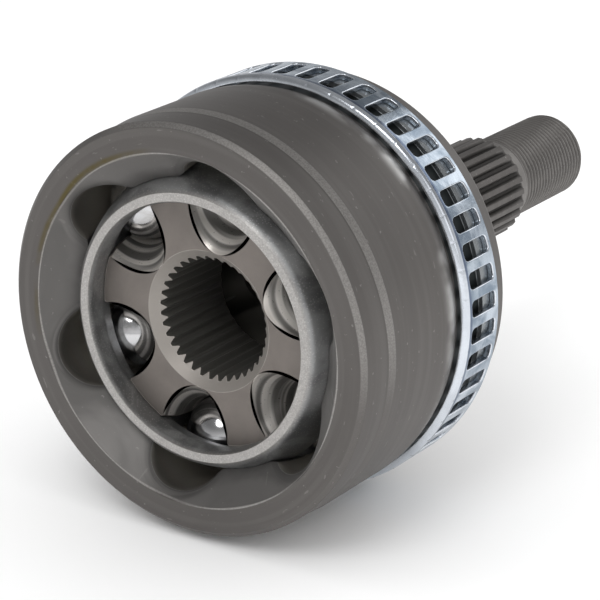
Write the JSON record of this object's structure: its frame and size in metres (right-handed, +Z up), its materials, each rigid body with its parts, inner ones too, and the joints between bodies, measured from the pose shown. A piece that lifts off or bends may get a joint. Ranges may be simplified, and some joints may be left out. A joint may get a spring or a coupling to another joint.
{
  "type": "cv joint",
  "caption": "Fixed constant-velocity ball joint: bell housing with splined and threaded stub, tone ring with windows, cage, splined inner race and balls.",
  "frame": {"origin": "joint centre: the point about which the inner race, the cage and the balls tilt, in the middle of the race's splined bore", "axes": "+Y along the axis towards the threaded stub, -Y out of the open mouth, +X along the modelled tilt axis, +Z up"},
  "size_m": [0.0996, 0.1643, 0.0996],
  "materials": {
    "phosphated_steel": "dark phosphated forged and turned steel, satin",
    "zinc_steel": "bright zinc plated pressed sheet",
    "cage_steel": "hardened and blasted steel, fine sparkle",
    "race_steel": "warm grey matt forged steel",
    "ball_steel": "mirror polished bearing steel"
  },
  "bodies": {
    "bell": {"bell_housing": "phosphated_steel", "tone_ring": "zinc_steel"},
    "inner_race": {"inner_race": "race_steel"},
    "ball_cage": {"ball_cage": "cage_steel"},
    "ball_1": {"ball_1": "ball_steel"},
    "ball_2": {"ball_2": "ball_steel"},
    "ball_3": {"ball_3": "ball_steel"},
    "ball_4": {"ball_4": "ball_steel"},
    "ball_5": {"ball_5": "ball_steel"},
    "ball_6": {"ball_6": "ball_steel"}
  },
  "joints": [
    {"name": "race_tilt", "type": "hinge", "parent": "bell", "child": "inner_race", "pos_m": [0, 0, 0], "axis": [1, 0, 0], "range_deg": [-45, 45]},
    {"name": "cage_tilt", "type": "hinge", "parent": "bell", "child": "ball_cage", "pos_m": [0, 0, 0], "axis": [1, 0, 0], "range_deg": [-22.5, 22.5]},
    {"name": "ball_1_roll", "type": "hinge", "parent": "bell", "child": "ball_1", "pos_m": [0, -0.0042, 0], "axis": [-0.3649, 0, 0.9311], "range_deg": [-8.57, 8.57]},
    {"name": "ball_2_roll", "type": "hinge", "parent": "bell", "child": "ball_2", "pos_m": [0, -0.0042, 0], "axis": [-0.9888, 0, 0.1495], "range_deg": [-22.31, 22.31]},
    {"name": "ball_3_roll", "type": "hinge", "parent": "bell", "child": "ball_3", "pos_m": [0, -0.0042, 0], "axis": [-0.6239, 0, -0.7815], "range_deg": [-14.51, 14.51]},
    {"name": "ball_4_roll", "type": "hinge", "parent": "bell", "child": "ball_4", "pos_m": [0, -0.0042, 0], "axis": [0.3649, 0, -0.9311], "range_deg": [-8.57, 8.57]},
    {"name": "ball_5_roll", "type": "hinge", "parent": "bell", "child": "ball_5", "pos_m": [0, -0.0042, 0], "axis": [0.9888, 0, -0.1495], "range_deg": [-22.31, 22.31]},
    {"name": "ball_6_roll", "type": "hinge", "parent": "bell", "child": "ball_6", "pos_m": [0, -0.0042, 0], "axis": [0.6239, 0, 0.7815], "range_deg": [-14.51, 14.51]}
  ],
  "couplings": [
    {"joint": "cage_tilt", "follows": "race_tilt", "ratio": 0.5},
    {"joint": "ball_1_roll", "follows": "race_tilt", "ratio": -0.1901},
    {"joint": "ball_2_roll", "follows": "race_tilt", "ratio": -0.49542},
    {"joint": "ball_3_roll", "follows": "race_tilt", "ratio": -0.32192},
    {"joint": "ball_4_roll", "follows": "race_tilt", "ratio": 0.1901},
    {"joint": "ball_5_roll", "follows": "race_tilt", "ratio": 0.49542},
    {"joint": "ball_6_roll", "follows": "race_tilt", "ratio": 0.32192}
  ]
}
